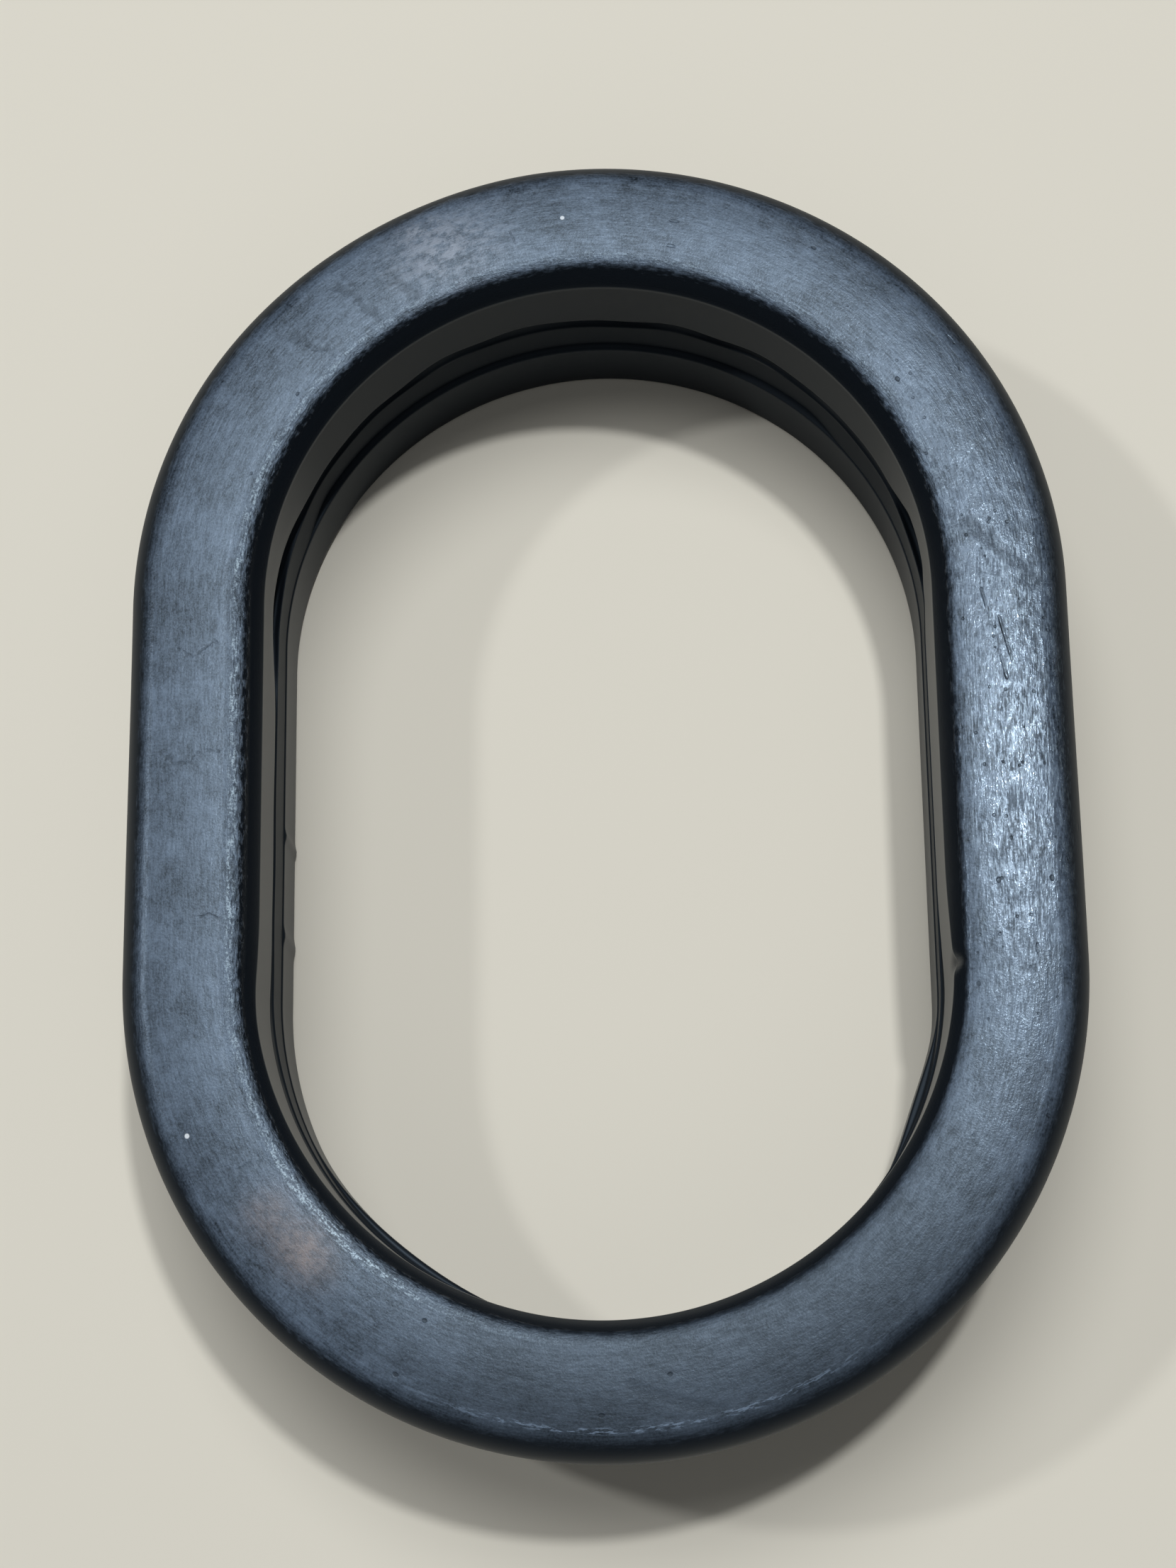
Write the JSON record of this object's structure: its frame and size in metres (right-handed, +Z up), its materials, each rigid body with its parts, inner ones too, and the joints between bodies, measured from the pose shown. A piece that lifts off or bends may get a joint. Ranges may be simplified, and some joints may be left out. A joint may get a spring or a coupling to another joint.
{
  "type": "grommet",
  "caption": "Obround rubber grommet with a thick rounded top flange, a lower flange and a groove between them that grips the edge of a panel cut-out, open through the middle.",
  "frame": {"origin": "middle of the base, on the surface that the part rests on", "axes": "+Z up through the hole and out of the top flange, length along Y, width along X"},
  "size_m": [0.1, 0.14, 0.03],
  "materials": {
    "rubber": "satin black rubber with a blue-grey bloom, worn and scuffed"
  },
  "bodies": {
    "root": {"grommet": "rubber"}
  },
  "joints": []
}
